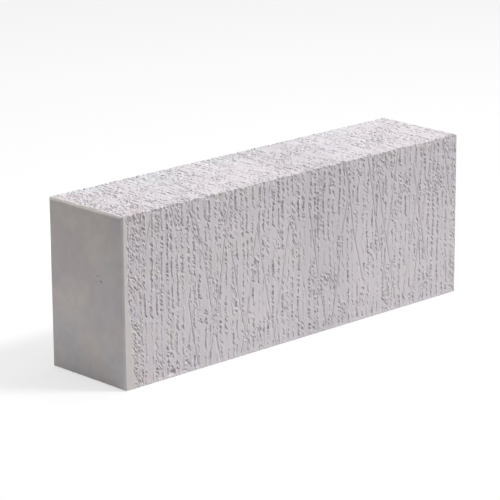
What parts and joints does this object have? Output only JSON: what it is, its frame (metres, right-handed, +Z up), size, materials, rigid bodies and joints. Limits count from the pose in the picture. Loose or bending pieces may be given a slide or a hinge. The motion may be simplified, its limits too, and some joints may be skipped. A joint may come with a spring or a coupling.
{
  "type": "aerated concrete block",
  "caption": "Solid rectangular aerated concrete wall block with wire-cut ribbed long faces and smooth bevelled moulded ends, laid in mortar or adhesive to build walls.",
  "frame": {"origin": "middle of the lower bed face, where the block stands", "axes": "+X along the block's length, +Y through the wall, +Z up"},
  "size_m": [0.65, 0.15, 0.24],
  "materials": {
    "aerated_concrete": "matt pale grey, finely porous, with wire-cut striations on the long faces and smooth ends"
  },
  "bodies": {
    "root": {"block": "aerated_concrete"}
  },
  "joints": []
}
